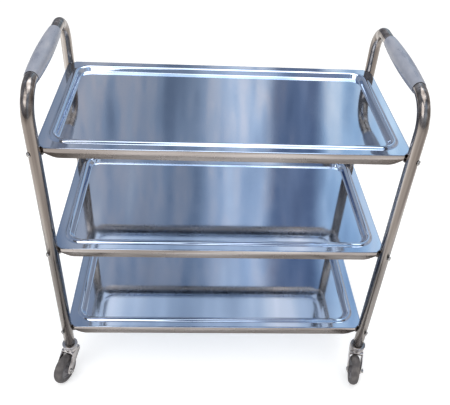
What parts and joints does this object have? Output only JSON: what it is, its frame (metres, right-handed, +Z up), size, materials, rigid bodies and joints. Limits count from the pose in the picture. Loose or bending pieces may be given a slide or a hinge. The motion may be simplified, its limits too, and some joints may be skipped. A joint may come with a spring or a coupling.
{
  "type": "food service trolley",
  "caption": "Tiered stainless service trolley: bent-tube end frames with sleeved push handles, pressed trays bolted at their corners, on swivel casters.",
  "frame": {"origin": "on the floor, at the centre of the four legs", "axes": "+X along the trays' length, from one handle to the other; +Y across the trays' width; +Z up"},
  "size_m": [0.7982, 0.5154, 0.8057],
  "materials": {
    "tray_steel": "polished sheet with light brushing",
    "tube_steel": "polished tube",
    "bolt_steel": "plain",
    "fork_plating": "bright plated",
    "grip_plastic": "satin moulded",
    "tyre_rubber": "worn rubber",
    "hub_grey": "moulded",
    "plug_black": "moulded"
  },
  "bodies": {
    "root": {"frame_left": "tube_steel", "frame_right": "tube_steel", "grip_left": "grip_plastic", "grip_right": "grip_plastic", "tray_bottom": "tray_steel", "tray_middle": "tray_steel", "tray_top": "tray_steel", "bolt_bottom_front_left": "bolt_steel", "nut_bottom_front_left": "bolt_steel", "bolt_bottom_front_right": "bolt_steel", "nut_bottom_front_right": "bolt_steel", "bolt_bottom_rear_left": "bolt_steel", "nut_bottom_rear_left": "bolt_steel", "bolt_bottom_rear_right": "bolt_steel", "nut_bottom_rear_right": "bolt_steel", "bolt_middle_front_left": "bolt_steel", "nut_middle_front_left": "bolt_steel", "bolt_middle_front_right": "bolt_steel", "nut_middle_front_right": "bolt_steel", "bolt_middle_rear_left": "bolt_steel", "nut_middle_rear_left": "bolt_steel", "bolt_middle_rear_right": "bolt_steel", "nut_middle_rear_right": "bolt_steel", "bolt_top_front_left": "bolt_steel", "nut_top_front_left": "bolt_steel", "bolt_top_front_right": "bolt_steel", "nut_top_front_right": "bolt_steel", "bolt_top_rear_left": "bolt_steel", "nut_top_rear_left": "bolt_steel", "bolt_top_rear_right": "bolt_steel", "nut_top_rear_right": "bolt_steel", "tube_plug_front_left": "plug_black", "caster_stem_front_left": "fork_plating", "tube_plug_front_right": "plug_black", "caster_stem_front_right": "fork_plating", "tube_plug_rear_left": "plug_black", "caster_stem_rear_left": "fork_plating", "tube_plug_rear_right": "plug_black", "caster_stem_rear_right": "fork_plating"},
    "caster_front_left": {"fork_front_left": "fork_plating", "axle_bolt_front_left": "bolt_steel", "axle_nut_front_left": "bolt_steel"},
    "wheel_front_left": {"tyre_front_left": "tyre_rubber", "hub_front_left": "hub_grey"},
    "caster_front_right": {"fork_front_right": "fork_plating", "axle_bolt_front_right": "bolt_steel", "axle_nut_front_right": "bolt_steel"},
    "wheel_front_right": {"tyre_front_right": "tyre_rubber", "hub_front_right": "hub_grey"},
    "caster_rear_left": {"fork_rear_left": "fork_plating", "axle_bolt_rear_left": "bolt_steel", "axle_nut_rear_left": "bolt_steel"},
    "wheel_rear_left": {"tyre_rear_left": "tyre_rubber", "hub_rear_left": "hub_grey"},
    "caster_rear_right": {"fork_rear_right": "fork_plating", "axle_bolt_rear_right": "bolt_steel", "axle_nut_rear_right": "bolt_steel"},
    "wheel_rear_right": {"tyre_rear_right": "tyre_rubber", "hub_rear_right": "hub_grey"}
  },
  "joints": [
    {"name": "swivel_front_left", "type": "hinge", "parent": "root", "child": "caster_front_left", "pos_m": [-0.3625, -0.1875, 0.084], "axis": [0, 0, 1], "continuous": true},
    {"name": "roll_front_left", "type": "hinge", "parent": "caster_front_left", "child": "wheel_front_left", "pos_m": [-0.37634, -0.21746, 0.0375], "axis": [0.9078, -0.4195, 0], "continuous": true},
    {"name": "swivel_front_right", "type": "hinge", "parent": "root", "child": "caster_front_right", "pos_m": [0.3625, -0.1875, 0.084], "axis": [0, 0, 1], "continuous": true},
    {"name": "roll_front_right", "type": "hinge", "parent": "caster_front_right", "child": "wheel_front_right", "pos_m": [0.35688, -0.22002, 0.0375], "axis": [0.9854, -0.1702, 0], "continuous": true},
    {"name": "swivel_rear_left", "type": "hinge", "parent": "root", "child": "caster_rear_left", "pos_m": [-0.3625, 0.1875, 0.084], "axis": [0, 0, 1], "continuous": true},
    {"name": "roll_rear_left", "type": "hinge", "parent": "caster_rear_left", "child": "wheel_rear_left", "pos_m": [-0.35688, 0.22002, 0.0375], "axis": [-0.9854, 0.1702, 0], "continuous": true},
    {"name": "swivel_rear_right", "type": "hinge", "parent": "root", "child": "caster_rear_right", "pos_m": [0.3625, 0.1875, 0.084], "axis": [0, 0, 1], "continuous": true},
    {"name": "roll_rear_right", "type": "hinge", "parent": "caster_rear_right", "child": "wheel_rear_right", "pos_m": [0.37634, 0.21746, 0.0375], "axis": [-0.9078, 0.4195, 0], "continuous": true}
  ]
}
